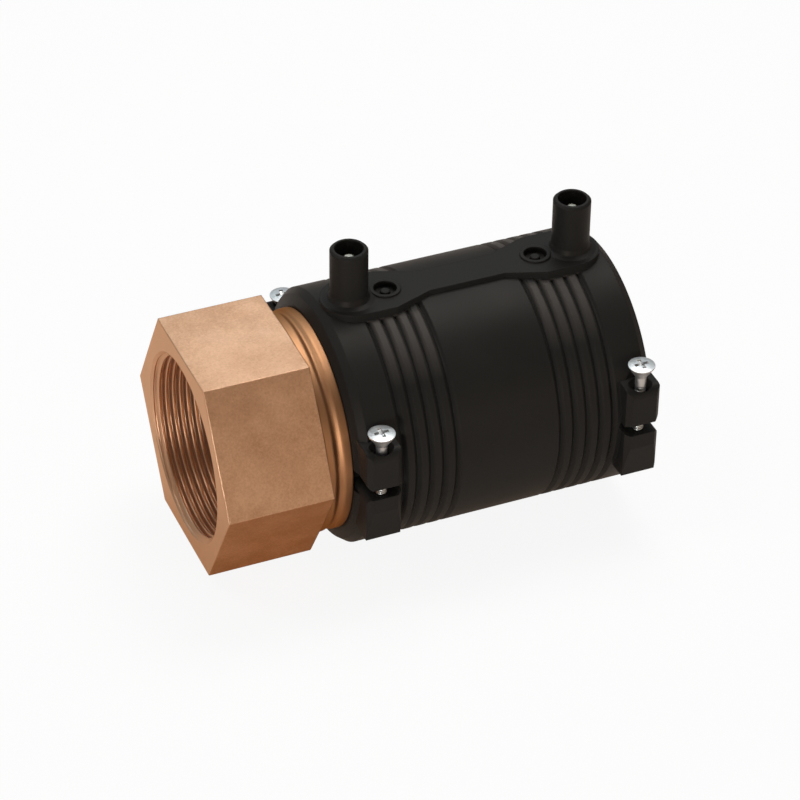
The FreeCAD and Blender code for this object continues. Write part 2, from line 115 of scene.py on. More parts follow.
class InsertSizes(bpy.types.PropertyGroup):
    """Sizes of the brass insert; its length and width come from the frame."""

    thread_pitch: length("Thread pitch", "Distance between two thread ridges", 2.309)
    thread_depth: length("Thread depth", "From the thread's crest to its root", 1.47)
    thread_crest: length("Thread crest radius", "Inner radius of the thread", 28.33)
    thread_length: length("Thread length", "From the mouth to the run-out relief", 25.0)
    mouth_chamfer: length("Mouth chamfer", "How deep the mouth is opened out", 2.0)
    relief_depth: length("Relief depth", "How far the relief passes the thread's root", 0.4)
    relief_length: length("Relief length", "Width of the run-out relief", 3.2)
    throat_length: length("Throat length", "Length of the cone down to the waterway", 5.0)
    throat_step: length("Throat step", "How much the throat's cone narrows", 3.0)
    hex_length: length("Hexagon length", "Length of the hexagon", 33.9)
    flat_step: length("Collar step", "How far the collar lies below the flats", 0.12)
    neck_depth: length("Neck depth", "Depth of the hollow round the collar", 0.7)
    neck_width: length("Neck width", "Width of the hollow round the collar", 3.6)
    bead_width: length("Bead width", "Width of the bead against the socket", 2.4)
    spigot_radius: length("Spigot radius", "Outside of the spigot in the plastic", 25.6)
    spigot_lead: length("Spigot lead", "Chamfer at the spigot's end", 1.2)
    waterway_radius: length("Waterway radius", "Radius of the plain bore", 21.5)
    seal_groove_width: length("Seal groove width", "Width of each seal groove", 3.4)
    seal_groove_depth: length("Seal groove depth", "Depth of each seal groove", 2.55)
    barb_depth: length("Barb depth", "Depth of the saw teeth on the spigot", 0.9)
    barb_count: count("Barbs", "Number of saw teeth", 3)
    edge_round: length("Edge round", "Rounding of the turned and milled edges", 0.35)


class ScrewSizes(bpy.types.PropertyGroup):
    """Sizes of the four clamp screws; their places come from the frame."""

    shank_radius: length("Shank radius", "Outside of the thread", 1.75)
    thread_pitch: length("Thread pitch", "Distance between two ridges", 1.3)
    thread_depth: length("Thread depth", "From the ridge to the core", 0.42)
    plain_neck: length("Plain neck", "Smooth stretch under the head", 3.2)
    tip_radius: length("Tip radius", "Radius at the blunt tip", 0.6)
    tip_length: length("Tip length", "Length of the tapered tip", 3.4)
    head_dome: length("Head dome", "Height of the raised head over its rim", 0.45)
    head_rim: length("Head rim", "Height of the straight rim", 0.3)
    head_cone: length("Head cone", "Height of the countersunk cone", 3.85)
    cross_width: length("Cross width", "Width of each arm of the cross recess", 1.23)
    cross_span: length("Cross span", "Length of each arm, end to end", 4.6)
    cross_wall: length("Cross wall", "Depth of the recess at the arms' ends", 0.35)
    cross_depth: length("Cross depth", "Depth of the recess in the middle", 1.8)
    edge_round: length("Edge round", "Rounding of the cone's and the rim's edges", 0.15)


class WireSizes(bpy.types.PropertyGroup):
    """Heating wire in the wall of both sockets."""

    wire_diameter: length("Wire diameter", "Thickness of the round wire", 0.8)
    fusion_length: length("Zone length", "Length of the winding of each zone", 25.8)
    turns: count("Turns", "Turns of wire in each zone", 10)


class PinSizes(bpy.types.PropertyGroup):
    """Contact pins inside the two terminal shrouds."""

    pin_radius: length("Pin radius", "Radius of the contact", 2.0)
    stem_radius: length("Stem radius", "Radius of the stem in the plastic", 1.4)
    flange_radius: length("Flange radius", "Radius of the seat flange", 3.0)
    flange_thickness: length("Flange thickness", "Thickness of the seat flange", 1.2)
    stem_length: length("Stem length", "From the wire to the flange", 9.0)
    tip_bevel: length("Tip bevel", "Height of the narrowing tip", 0.6)
    edge_round: length("Edge round", "Rounding of the pin's edges", 0.4)


class HighlightPlaces(bpy.types.PropertyGroup):
    """Where the socket's ribs get a painted highlight, a lighter grey on their crests beside the
    pad.
    """

    # The rubbing in these settings is a painted highlight, full on the crests and fading away from
    # them.
    crest_radius: length("Crest radius", "From the axis to the ribs' crests", 40.5)
    crest_band: length("Crest band", "Depth below the crests that is fully rubbed", 0.2)
    groove_fade: length("Groove fade", "Depth below the crests where the rubbing ends", 1.1)
    ribs_middle: length("Ribs' middle", "From the barrel's middle to the ribs' middle", 26.0)
    ribs_reach: length("Ribs' reach", "Half the length that the ribs take up", 9.5)
    ribs_fade: length("Ribs' fade", "How the rubbing fades at that length's ends", 1.0)
    low_start: length("Low start", "Height on the barrel where the rubbing begins", 27.0)
    low_full: length("Low full", "Height on the barrel where it is full", 36.0)
    pad_full: length("Pad full", "Height up to which it is full, under the pad", 38.8)
    pad_end: length("Pad end", "Height at the pad where it ends", 39.3)


class Finishes(bpy.types.PropertyGroup):
    """Colours of the materials, in linear light."""

    plastic: colour("Black plastic", "Moulded polyethylene", (0.0146, 0.0138, 0.0126))
    plastic_gloss: colour("Plastic gloss", "Tone of the plastic's reflections", (1.00, 0.88, 0.78))
    # Painted highlight: a grey on the ribs' crests beside the pad that stands in for the overhead
    # softbox's highlight.
    crest_highlight_grey: colour("Rib scuffs", "Rubbed crests of the ribs beside the pad", (0.048, 0.043, 0.039))
    brass: colour("Brass", "Clean grain of the milled flats", (0.745, 0.455, 0.290))
    brass_dull: colour("Dull brass", "Browner grain of the milled flats", (0.520, 0.288, 0.168))
    brass_edge: colour("Brass edge", "Milled flats at a flat angle", (0.46, 0.29, 0.18))
    mouth: colour("Mouth", "Turned face and thread of the insert", (0.66, 0.40, 0.25))
    mouth_edge: colour("Mouth edge", "Turned face and thread at a flat angle", (1.00, 0.86, 0.72))
    # Painted shade: the collar's brass and its edge colour are darker and browner than the mouth's,
    # for the shade and dark reflections in the neck between the hexagon and the socket.
    collar: colour("Collar", "Turned collar, a little tarnished", (0.40, 0.20, 0.098))
    collar_edge: colour("Collar edge", "Collar at a flat angle", (0.52, 0.33, 0.19))
    steel: colour("Zinc plating", "Clamp screws", (0.56, 0.56, 0.55))
    pin: colour("Pin plating", "Plated contact pins", (0.78, 0.72, 0.60))
    rubber: colour("Rubber", "Seal rings", (0.010, 0.010, 0.011))
    wire: colour("Wire", "Resistance wire", (0.62, 0.42, 0.30))


class Studio(bpy.types.PropertyGroup):
    """Camera, world and floor."""

    azimuth: tilt("Azimuth", "Camera's turn from +Y", -22.98)
    elevation: tilt("Elevation", "Camera above the horizon", 36.56)
    roll: tilt("Roll", "Camera's tilt", 0.66)
    distance: length("Distance", "From the camera to the target", 1042.9)
    target: length("Target", "How far along the axis the camera looks", 70.0)
    lens: FloatProperty(name="Lens", description="Focal length in mm", default=150.82, min=1)
    shift: FloatVectorProperty(
        name="Shift",
        description="Small sideways and upward shift of the picture",
        default=(0.00601, -0.00386),
        size=2,
    )
    floor_reach: length("Floor reach", "From the floor's middle to its sides", 3000.0)
    floor_gap: length("Floor gap", "From the object's lowest point to the floor", 0.2)
    floor_matt: level("Floor matt", "How pale the floor is where the shadow falls", 0.93)
    floor_white: level("Floor white", "Share of plain white as the camera sees the floor", 0.9)
    floor_glossy: level("Floor in metal", "Share of the plain tone as metal sees the floor", 0.5)
    floor_tone: colour("Floor tone", "Plain tone of the floor in metal", (0.70, 0.50, 0.36))
    world_light: level("World light", "Level of the world on matt surfaces", 0.25)
    world_front: colour("World front", "What metal sees on the camera's side", (0.17, 0.14, 0.11))
    world_back: colour("World back", "What metal sees above and behind", (0.78, 0.91, 1.00))


# Surfaces


def grid_faces(rows, columns):
    """Quads between neighbouring points of a grid whose columns go round and whose rows don't."""
    index = np.arange(rows * columns).reshape(rows, columns)
    beside = np.roll(index, -1, axis=1)
    quads = np.stack([index[:-1], beside[:-1], beside[1:], index[1:]], axis=-1)
    return quads.reshape(-1, 4).tolist()


def closed_faces(rows, columns):
    """Quads of a grid whose columns and rows both go round, as on a ring."""
    index = np.arange(rows * columns).reshape(rows, columns)
    beside, below = np.roll(index, -1, axis=1), np.roll(index, -1, axis=0)
    quads = np.stack([index, beside, np.roll(below, -1, axis=1), below], axis=-1)
    return quads.reshape(-1, 4).tolist()


def capped_faces(rows, columns):
    """Quads of a grid, with a fan of triangles from one extra point to the first and last row."""
    first = np.arange(columns)
    last = first + (rows - 1) * columns
    start, end = rows * columns, rows * columns + 1
    low = np.stack([np.full(columns, start), np.roll(first, -1), first], axis=-1)
    high = np.stack([np.full(columns, end), last, np.roll(last, -1)], axis=-1)
    return grid_faces(rows, columns) + low.tolist() + high.tolist()


def round_corners(points, radius, steps=3, side_share=0.34, hold=1.3):
    """Each inner corner of an open line becomes a short parabola between two points on its sides.

    The parabola is (1-s)^2 A + 2s(1-s) C + s^2 B, where C is the corner and A and B lie radius
    away from it, or side_share of a side away where the side is short. One more point beyond
    each of A and B, hold times as far from C, keeps the shading of the straight side level.
    """
    points = np.asarray(points, float)
    corner, back, ahead = points[1:-1], points[:-2] - points[1:-1], points[2:] - points[1:-1]
    back_size = np.linalg.norm(back[:, :2], axis=1)[:, None]
    ahead_size = np.linalg.norm(ahead[:, :2], axis=1)[:, None]
    start = corner + back / back_size * np.minimum(radius, side_share * back_size)
    end = corner + ahead / ahead_size * np.minimum(radius, side_share * ahead_size)
    before, after = (corner + hold * (side - corner) for side in (start, end))
    s = np.linspace(0, 1, steps + 1)[None, :, None]
    bend = (1 - s) ** 2 * start[:, None] + 2 * s * (1 - s) * corner[:, None] + s**2 * end[:, None]
    bend = np.concatenate([before[:, None], bend, after[:, None]], axis=1)
    return np.concatenate([points[:1], bend.reshape(-1, points.shape[1]), points[-1:]])


def about_x(x, radius, angle):
    """Points at radius from the X axis and at angle from +Y towards +Z."""
    return np.stack([x, radius * np.cos(angle), radius * np.sin(angle)], axis=-1)


def about_z(centre, height, radius, angle):
    """Points at radius from a vertical line and at angle from +X towards +Y."""
    x = centre[0] + radius * np.cos(angle)
    y = centre[1] + radius * np.sin(angle)
    return np.stack([x, y, height + 0 * angle], axis=-1)


def ridge(phase):
    """Rounded thread ridge: 0 at whole turns and 1 halfway, as half of one minus a cosine."""
    return 0.5 - 0.5 * np.cos(2 * np.pi * phase)


def add_piece(name, points, faces, node, body, slot, materials):
    """Mesh object at the origin that stands for a frame node and rides on its body."""
    mesh = bpy.data.meshes.new(name)
    mesh.from_pydata(np.asarray(points).reshape(-1, 3).tolist(), [], faces)
    mesh.polygons.foreach_set("use_smooth", np.ones(len(mesh.polygons), bool))
    mesh.update()
    mesh.set_sharp_from_angle(angle=SHARP_ANGLE)
    for material in materials:
        mesh.materials.append(material)
    piece = bpy.data.objects.new(name, mesh)
    bpy.context.scene.collection.objects.link(piece)
    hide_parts(node)
    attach(piece, body)
    return piece


def add_capped(name, rings, poles, node, body, slot, material):
    """Piece made of rings of points that close in a pole at each end."""
    points = np.concatenate([rings.reshape(-1, 3), poles])
    faces = capped_faces(*rings.shape[:2])
    return add_piece(name, points, faces, node, body, slot, [material])


def nodes_named(start):
    """Names of the frame's nodes that begin with start."""
    return sorted(name for name in frame["nodes"] if name.startswith(start))


def body_of_node(node):
    """Name of the body that a frame node belongs to."""
    bodies = frame["record"]["behaviour"]["bodies"]
    return next(body for body, members in bodies.items() if node in members)


# Materials


def new_material(name):
    """Empty node material and its shader."""
    material = bpy.data.materials.new(name)
    material.use_nodes = True
    return material, material.node_tree.nodes["Principled BSDF"]


def connect(owner, node, socket, value):
    """Sets an input socket, or links it when the value is a (node, output) pair."""
    if isinstance(value, tuple) and isinstance(value[0], bpy.types.Node):
        owner.node_tree.links.new(value[0].outputs[value[1]], node.inputs[socket])
    else:
        node.inputs[socket].default_value = value


def add_node(owner, kind, settings=None, **sockets):
    """Node of a material or world, with its settings and some of its sockets set or linked."""
    node = owner.node_tree.nodes.new(kind)
    for name, value in (settings or {}).items():
        setattr(node, name, value)
    for name, value in sockets.items():
        connect(owner, node, name.replace("_", " "), value)
    return node


def math_node(owner, operation, first, second):
    """Sum, product or other operation on two values."""
    node = add_node(owner, "ShaderNodeMath", {"operation": operation})
    connect(owner, node, 0, first)
    connect(owner, node, 1, second)
    return node, "Value"


def times(owner, value, factor):
    """A value times a plain factor."""
    return math_node(owner, "MULTIPLY", value, factor)


def apart(owner, value, place):
    """How far a value lies from a plain number, either way."""
    return math_node(owner, "ABSOLUTE", math_node(owner, "SUBTRACT", value, place), 0)


def object_coordinates(material, scale=(1, 1, 1)):
    """Object coordinates, stretched along each axis by scale."""
    coordinates = add_node(material, "ShaderNodeTexCoord")
    mapping = add_node(material, "ShaderNodeMapping", Vector=(coordinates, "Object"), Scale=scale)
    return mapping, "Vector"


def from_axis(material):
    """Split object coordinates, and the distance from the waterway's axis."""
    split = add_node(material, "ShaderNodeSeparateXYZ", Vector=object_coordinates(material))
    across = add_node(material, "ShaderNodeCombineXYZ", Y=(split, "Y"), Z=(split, "Z"))
    measure = {"operation": "LENGTH"}
    distance = add_node(material, "ShaderNodeVectorMath", measure, Vector=(across, "Vector"))
    return split, (distance, "Value")


def radial_coordinates(material):
    """(along the axis, distance from it, 0), so that a pattern runs in rings like turned metal."""
    split, distance = from_axis(material)
    return add_node(material, "ShaderNodeCombineXYZ", X=(split, "X"), Y=distance), "Vector"


def noise(material, vector, scale, detail=3.0, roughness=0.5):
    """Noise pattern on the given coordinates."""
    sockets = {"Scale": scale, "Detail": detail, "Roughness": roughness}
    return add_node(material, "ShaderNodeTexNoise", Vector=vector, **sockets), "Fac"


def spread(owner, value, low, high, start=0.25, end=0.75):
    """A value between start and end mapped to low and high, and held there beyond."""
    sockets = {"From_Min": start, "From_Max": end, "To_Min": low, "To_Max": high}
    return add_node(owner, "ShaderNodeMapRange", Value=value, **sockets), "Result"


def tint(owner, fac, dark, light):
    """Colour that goes from dark to light as fac goes from 0 to 1; either may be linked."""
    mix = add_node(owner, "ShaderNodeMix", {"data_type": "RGBA"})
    connect(owner, mix, 0, fac)
    for socket, value in ((6, dark), (7, light)):
        linked = isinstance(value[0], bpy.types.Node)
        connect(owner, mix, socket, value if linked else (*value, 1))
    return mix, 2


def bump(material, height, distance, strength, edge_round=0.0):
    """Bump from a height pattern, over edges softened by edge_round."""
    node = add_node(material, "ShaderNodeBump", Strength=strength, Distance=distance, Height=height)
    if edge_round:
        bevel = add_node(material, "ShaderNodeBevel", Radius=edge_round)
        connect(material, node, "Normal", (bevel, "Normal"))
    return node, "Normal"


def scaled(base, factor):
    """Colour made darker or lighter."""
    return tuple(min(1.0, channel * factor) for channel in base)


def mottled(material, pattern, base, darkest, lightest):
    """The base colour, made darker and lighter by a pattern."""
    return tint(material, pattern, scaled(base, darkest), scaled(base, lightest))


def finish_shader(material, shader, **sockets):
    """Sets or links several sockets of the material's shader."""
    for name, value in sockets.items():
        connect(material, shader, name.replace("_", " "), value)
    return material


def finish_metal(material, shader, tone, sheen, relief, edge=WHITE, metallic=1.0):
    """Metal of one tone, whose reflections take the edge colour at a flat angle."""
    sockets = {"Base_Color": tone, "Roughness": sheen, "Normal": relief, "Metallic": metallic}
    return finish_shader(material, shader, Specular_Tint=(*edge, 1), **sockets)


# Painted highlight: the mask of the grey that stands in for the overhead softbox's highlight on the
# crests.
def painted_crest_highlight(material, places):
    """1 on the ribs' crests beside the pad, falling to 0 into the grooves and down the barrel.

    The value is the least of four slopes: one that ends where the distance from the barrel's
    middle differs from ribs_middle by ribs_reach, one over the distance from the axis, one that
    begins on the barrel's side, and one that ends at the pad.
    """
    split, distance = from_axis(material)
    height = (split, "Z")
    barrel_middle = (BODY_LOW.x + BODY_HIGH.x) / 2
    from_ribs = apart(material, apart(material, (split, "X"), barrel_middle), places.ribs_middle)
    reach, crest = places.ribs_reach, places.crest_radius
    slopes = [
        spread(material, from_ribs, 1, 0, reach - places.ribs_fade, reach),
        spread(material, distance, 0, 1, crest - places.groove_fade, crest - places.crest_band),
        spread(material, height, 0, 1, places.low_start, places.low_full),
        spread(material, height, 1, 0, places.pad_full, places.pad_end),
    ]
    least = slopes[0]
    for slope in slopes[1:]:
        least = math_node(material, "MINIMUM", least, slope)
    return least


def black_plastic_material(finishes, places):
    """Moulded polyethylene: faint sheen, fine mould grain, and a painted highlight on the ribs'
    crests.
    """
    material, shader = new_material("black_moulded_plastic")
    grain = noise(material, object_coordinates(material), scale=2600, detail=2)
    cloud = noise(material, object_coordinates(material), scale=55, detail=4)
    plain = mottled(material, cloud, finishes.plastic, darkest=0.85, lightest=1.2)
    # Painted highlight: the crests beside the pad turn greyer where the overhead softbox's
    # highlight falls.
    highlighted = mottled(material, cloud, finishes.crest_highlight_grey, darkest=0.8, lightest=1.2)
    tone = tint(material, painted_crest_highlight(material, places), plain, highlighted)
    sheen = spread(material, cloud, low=0.40, high=0.50)
    relief = bump(material, grain, distance=0.05 * MM, strength=0.25, edge_round=0.5 * MM)
    gloss = {"Specular_IOR_Level": 0.10, "Specular_Tint": (*finishes.plastic_gloss, 1)}
    sockets = {"Base_Color": tone, "Roughness": sheen, "Normal": relief}
    return finish_shader(material, shader, **sockets, **gloss)


def milled_brass_material(finishes):
    """Milled flats: satin metal with a mottled grain, faint cutter streaks, browner blotches."""
    material, shader = new_material("milled_brass")
    along_cutter = (0.25, 1, 1)
    grain = noise(material, object_coordinates(material), scale=1500, detail=4, roughness=0.7)
    streaks = noise(material, object_coordinates(material, along_cutter), scale=700, detail=2)
    blotches = noise(material, object_coordinates(material), scale=75, detail=5, roughness=0.65)
    mottle = times(material, math_node(material, "ADD", grain, blotches), 0.5)
    clean = spread(material, mottle, 0, 1, start=0.36, end=0.64)
    tone = tint(material, clean, finishes.brass_dull, finishes.brass)
    sheen = spread(material, streaks, low=0.33, high=0.42)
    relief = bump(material, grain, distance=0.06 * MM, strength=0.40, edge_round=0.5 * MM)
    return finish_metal(material, shader, tone, sheen, relief, finishes.brass_edge)


def turned_brass_material(name, base, edge, smoothest):
    """Turned metal: fine rings left by the tool, with faint cloudy tarnish."""
    material, shader = new_material(name)
    rings = noise(material, radial_coordinates(material), scale=3200, detail=2)
    blotches = noise(material, object_coordinates(material), scale=60)
    tone = mottled(material, blotches, base, darkest=0.9, lightest=1.1)
    sheen = spread(material, rings, low=smoothest, high=smoothest + 0.1)
    relief = bump(material, rings, distance=0.03 * MM, strength=0.3, edge_round=0.2 * MM)
    return finish_metal(material, shader, tone, sheen, relief, edge)


def plated_metal_material(name, base, roughness, metallic=1.0):
    """Bright plating with a slightly uneven sheen; less metallic where the plating is dull."""
    material, shader = new_material(name)
    cloud = noise(material, object_coordinates(material), scale=900)
    tone = mottled(material, cloud, base, darkest=0.88, lightest=1.1)
    sheen = spread(material, cloud, low=roughness * 0.8, high=roughness * 1.3)
    relief = bump(material, cloud, distance=0.02 * MM, strength=0.2)
    return finish_metal(material, shader, tone, sheen, relief, metallic=metallic)


def rubber_material(base):
    """Matt black seal rubber with a powdery variation."""
    material, shader = new_material("seal_rubber")
    powder = noise(material, object_coordinates(material), scale=700)
    tone = mottled(material, powder, base, darkest=0.8, lightest=1.6)
    sheen = spread(material, powder, low=0.65, high=0.8)
    return finish_shader(material, shader, Base_Color=tone, Roughness=sheen)


def floor_material(studio):
    """Pale floor that keeps the object's shadow: mostly plain white to the camera, dim in metal."""
    material, shader = new_material("pale_floor")
    speckle = noise(material, object_coordinates(material), scale=40, detail=2)
    sheen = spread(material, speckle, low=0.88, high=0.92)
    paint = (*scaled(WHITE, studio.floor_matt), 1)
    finish_shader(material, shader, Base_Color=paint, Roughness=sheen)
    path = add_node(material, "ShaderNodeLightPath")
    glossy_rays = (path, "Is Glossy Ray"), (path, "Is Transmission Ray")
    to_camera = times(material, (path, "Is Camera Ray"), studio.floor_white)
    to_metal = times(material, math_node(material, "MAXIMUM", *glossy_rays), studio.floor_glossy)
    glow = tint(material, (path, "Is Camera Ray"), studio.floor_tone, WHITE)
    plain = add_node(material, "ShaderNodeEmission", Color=glow, Strength=1.0)
    plain_share = math_node(material, "MAXIMUM", to_camera, to_metal)
    mix = add_node(material, "ShaderNodeMixShader", Fac=plain_share)
    connect(material, mix, 1, (shader, "BSDF"))
    connect(material, mix, 2, (plain, "Emission"))
    connect(material, material.node_tree.nodes["Material Output"], "Surface", (mix, "Shader"))
    return material


def dress_node(name, material):
    """Gives a frame node its finish."""
    node = frame["nodes"][name]
    node.data.materials.clear()
    node.data.materials.append(material)


# Shapes


def relief_radius(sizes):
    """Radius of the run-out relief, a little more than the thread's root."""
    return sizes.thread_crest + sizes.thread_depth + sizes.relief_depth


def insert_outline(sizes, neck_rows=9):
    """(x, radius, share of the hexagon) from the mouth's edge over the collar and up the bore."""
    flats, end, socket_x = INSERT_HIGH.z, INSERT_HIGH.x, BODY_LOW.x
    collar, spigot, bore = flats - sizes.flat_step, sizes.spigot_radius, sizes.waterway_radius
    relief, relief_x = relief_radius(sizes), sizes.thread_length + sizes.relief_length
    across = np.linspace(0, 1, neck_rows)
    neck_x = socket_x - sizes.bead_width - sizes.neck_width * (1 - across)
    neck = np.stack([neck_x, collar - sizes.neck_depth * ridge(across), 0 * across], axis=-1)
    line = [(0, relief, 0), (0, flats, 1), (sizes.hex_length, flats, 1)]
    line += [(sizes.hex_length, collar, 0), *neck.tolist(), (socket_x, collar, 0)]
    line += [(socket_x, spigot, 0)]
    half, floor = sizes.seal_groove_width / 2, spigot - sizes.seal_groove_depth
    for ring in SEALS:
        low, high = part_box(ring)
        middle = (low.x + high.x) / 2
        left, right = middle - half, middle + half
        line += [(left, spigot, 0), (left, floor, 0), (right, floor, 0), (right, spigot, 0)]
    line += barb_line(sizes, line[-1][0] + half, end - sizes.spigot_lead)
    line += [(end, spigot - sizes.spigot_lead, 0), (end, bore, 0)]
    line += [(relief_x + sizes.throat_length, bore, 0), (relief_x, bore + sizes.throat_step, 0)]
    return line + [(relief_x, relief, 0), (sizes.thread_length, relief, 0)]


def barb_line(sizes, start, end):
    """Saw teeth between two places on the spigot: each drops square and rises slowly."""
    pitch = (end - start) / (sizes.barb_count + 0.5)
    x = start + pitch * np.repeat(np.arange(sizes.barb_count + 1), 2)
    drop = np.tile([0, sizes.barb_depth], sizes.barb_count + 1)
    line = np.stack([x, sizes.spigot_radius - drop, 0 * x], axis=-1)[:-1]
    return line.tolist() + [(end, sizes.spigot_radius, 0)]


def insert_surface(sizes, columns=216, rows_per_ridge=14):
    """Grid of points on the insert, the thread's rows last, and the outline without the thread.

    Outside the thread a row is the outline's radius, plus its share of the hexagon's extra radius
    flats / cos(angle from the nearest flat's middle) - flats. In the thread the radius is the
    crest plus depth times a ridge of x / pitch - angle / full turn, a right-handed helix, and
    never less than the mouth chamfer's line.
    """
    angle = np.linspace(0, 2 * np.pi, columns, endpoint=False)[None, :]
    flats = INSERT_HIGH.z
    from_flat = np.abs(angle % (np.pi / 3) - np.pi / 6)
    hexagon = flats / np.cos(from_flat) - flats
    outline = round_corners(insert_outline(sizes), sizes.edge_round)
    x, radius, share = (outline[:, i : i + 1] for i in range(3))
    outside = about_x(x + 0 * angle, radius + share * hexagon, angle)
    rows = int(sizes.thread_length / sizes.thread_pitch * rows_per_ridge)
    x = np.linspace(sizes.thread_length, 0, rows + 2)[1:-1, None]
    relief, crest = relief_radius(sizes), sizes.thread_crest
    chamfer = relief - (relief - crest) * x / sizes.mouth_chamfer
    thread = ridge(x / sizes.thread_pitch - angle / (2 * np.pi))
    bore = about_x(x + 0 * angle, np.maximum(crest + sizes.thread_depth * thread, chamfer), angle)
    return np.concatenate([outside, bore]), outline


def insert_finish_rows(outline, rows, hexagon_share=0.97, mouth_depth=1 * MM):
    """Number of the finish on each row of the insert's faces, the thread's rows last.

    The outline is milled where it has more than hexagon_share of the hexagon's extra radius
    behind the mouth's face, and otherwise turned, like the mouth as far as mouth_depth behind
    that face and like the collar from there on.
    """
    x, share = outline[:, 0], outline[:, 2]
    turned = np.where(x > mouth_depth, TURNED_COLLAR, TURNED_MOUTH)
    finish = np.full(rows, THREAD)
    finish[: len(outline)] = np.where((share > hexagon_share) & (x > 0), MILLED_FLATS, turned)
    return finish


def head_surface(sizes, centre, rim, head_radius, angle, circles=12):
    """Rings over the raised head, from near its rim to the middle of the cross recess.

    The recess's edge lies where a ray from the middle leaves an arm: half the span divided by the
    larger of the ray's two parts, or half the width divided by the smaller, whichever is nearer.
    The rings go evenly from a circle to that edge and on as smaller crosses. The height is a
    parabola of the radius, less the wall inside the edge and a slope that deepens to the middle.
    """
    outer_share, wall_share, least = 0.94, 0.07, 1e-9
    crosses = np.array([0.985, 0.93, 0.86, 0.7, 0.52, 0.34, 0.18, 0.06])[:, None]
    parts = np.abs(np.cos(angle)), np.abs(np.sin(angle))
    to_end, to_side = sizes.cross_span / 2, sizes.cross_width / 2
    edge = np.minimum(to_end / np.maximum(*parts), to_side / np.fmax(np.minimum(*parts), least))
    step = np.linspace(0, 1, circles)[:, None]
    outside = (1 - step) * outer_share * head_radius + step * edge
    radius = np.concatenate([outside, crosses * edge])
    inside = np.concatenate([0 * step, np.clip((1 - crosses) / wall_share, 0, 1)])
    deepening = np.clip(1 - 2 * radius / sizes.cross_span, 0, 1)
    recess = inside * (sizes.cross_wall + (sizes.cross_depth - sizes.cross_wall) * deepening)
    height = rim + sizes.head_dome * (1 - (radius / head_radius) ** 2) - recess
    return about_z(centre, height, radius, angle)


def screw_surface(sizes, low, high, columns=96, rows_per_ridge=12):
    """Rings of points on one screw, tip first, with a pole at each end.

    Along the shank the radius falls by depth times one minus a ridge of height / pitch - angle /
    full turn, less and less towards the smooth neck and, down to tip_depth of it, the tip. A
    countersunk cone leads up to the rim and to the first ring of the dome.
    """
    tip_depth, dome_share, dome_rise = 0.15, 0.96, 0.08
    centre = ((low.x + high.x) / 2, (low.y + high.y) / 2)
    head_radius = (high.x - low.x) / 2
    rim = high.z - sizes.head_dome
    neck = rim - sizes.head_rim - sizes.head_cone
    angle = np.linspace(0, 2 * np.pi, columns, endpoint=False)[None, :]
    rows = int((neck - low.z) / sizes.thread_pitch * rows_per_ridge)
    z = np.linspace(low.z, neck, rows)[:, None]
    tip = [low.z, low.z + sizes.tip_length]
    taper = np.interp(z, tip, [sizes.tip_radius, sizes.shank_radius])
    plain = np.clip((neck - sizes.plain_neck - z) / sizes.thread_pitch, 0, 1)
    fade = plain * np.clip((z - low.z) / sizes.tip_length, tip_depth, 1)
    cut = sizes.thread_depth * fade * (1 - ridge(z / sizes.thread_pitch - angle / (2 * np.pi)))
    shank = about_z(centre, z, taper - cut, angle)
    corners = [(neck, sizes.shank_radius), (rim - sizes.head_rim, head_radius), (rim, head_radius)]
    corners += [(rim + sizes.head_dome * dome_rise, head_radius * dome_share)]
    edge = round_corners(corners, sizes.edge_round)[1:]
    cone = about_z(centre, edge[:, :1], edge[:, 1:] + 0 * angle, angle)
    rings = np.concatenate([shank, cone, head_surface(sizes, centre, rim, head_radius, angle)])
    poles = [(*centre, low.z), (*centre, rim + sizes.head_dome - sizes.cross_depth)]
    return rings, np.array(poles)


def pin_surface(sizes, low, high, columns=48):
    """Rings round one contact pin from its foot to its narrowed tip, with a pole at each end.

    Each ring's height and radius are a point of the pin's outline, whose corners are rounded.
    """
    pole_ring, tip_share = 0.2 * MM, 0.7
    centre = ((low.x + high.x) / 2, (low.y + high.y) / 2)
    seat = low.z + sizes.stem_length
    shoulder = seat + sizes.flange_thickness
    line = [(low.z, pole_ring), (low.z, sizes.stem_radius), (seat, sizes.stem_radius)]
    line += [(seat, sizes.flange_radius), (shoulder, sizes.flange_radius)]
    line += [(shoulder, sizes.pin_radius), (high.z - sizes.tip_bevel, sizes.pin_radius)]
    line += [(high.z, sizes.pin_radius * tip_share), (high.z, pole_ring)]
    line = round_corners(line, sizes.edge_round, steps=4)
    angle = np.linspace(0, 2 * np.pi, columns, endpoint=False)[None, :]
    rings = about_z(centre, line[:, :1], line[:, 1:] + 0 * angle, angle)
    return rings, np.array([(*centre, low.z), (*centre, high.z)])


def wire_path(sizes, spacing=2.2 * MM):
    """The wire's middle, wound, straight along the top and wound again: x, angle and radius.

    x and angle are straight lines of the distance run, so each zone is a helix. A moving average
    of three points rounds the two bends where the wire leaves a zone.
    """
    half, zone = sizes.wire_diameter / 2, sizes.fusion_length
    radius = WIRE_HIGH.z - half
    start, end = WIRE_LOW.x + half, WIRE_HIGH.x - half
    full = 2 * np.pi * sizes.turns
    run = np.hypot(full * radius, zone)
    knots = np.cumsum([0, run, end - start - 2 * zone, run])
    distance = np.linspace(0, knots[-1], int(knots[-1] / spacing))
    x = np.interp(distance, knots, [start, start + zone, end - zone, end])
    angle = np.pi / 2 + np.interp(distance, knots, [0, full, full, 2 * full])
    window, inner = np.ones(3) / 3, slice(1, -1)
    x[inner], angle[inner] = np.convolve(x, window, "valid"), np.convolve(angle, window, "valid")
    return x, angle, radius


